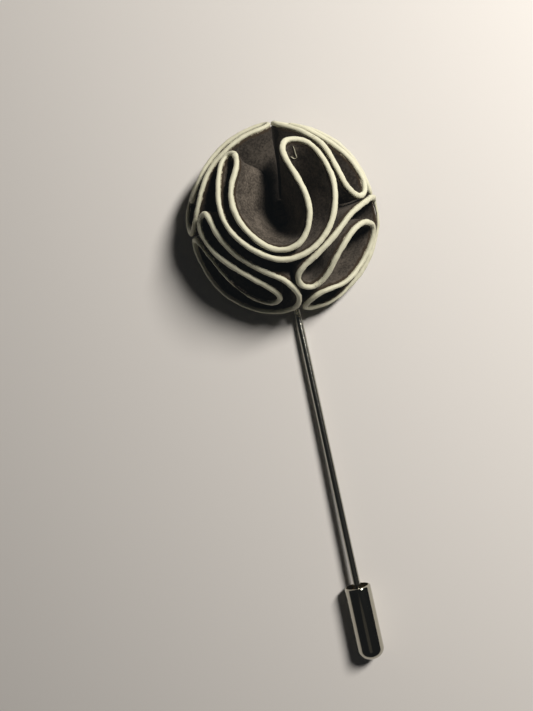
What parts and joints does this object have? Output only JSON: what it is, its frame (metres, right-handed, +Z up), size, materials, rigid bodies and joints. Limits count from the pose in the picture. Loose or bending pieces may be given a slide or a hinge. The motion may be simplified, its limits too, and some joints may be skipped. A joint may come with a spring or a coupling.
{
  "type": "lapel pin",
  "caption": "Lapel stick pin with a dome-shaped flower of suede discs folded into quarters, cream painted edges, a straight wire and a pull-off bullet clutch.",
  "frame": {"origin": "centre of the flat underside of the round backing, which the pin lies on", "axes": "+Z up from the surface that the pin lies on, through the flower's hub; +Y along the pin, from the clutch towards the flower"},
  "size_m": [0.0341, 0.0972, 0.019],
  "materials": {
    "suede": "napped, matte",
    "edge_paint": "dried cream edge paint, satin",
    "nickel": "polished nickel plate"
  },
  "bodies": {
    "pin": {"stick_pin": "nickel", "backing": "suede", "petal_centre": "suede", "petal_upper_right": "suede", "petal_lower_right": "suede", "petal_lower_left": "suede", "petal_left": "suede", "edge_centre": "edge_paint", "edge_upper_right": "edge_paint", "edge_lower_right": "edge_paint", "edge_lower_left": "edge_paint", "edge_left": "edge_paint"},
    "clutch": {"clutch": "nickel"}
  },
  "joints": [
    {"name": "clutch_slide", "type": "slide", "parent": "pin", "child": "clutch", "axis": [0, -0.9996, 0.0268], "range_m": [0, 0.014]}
  ]
}
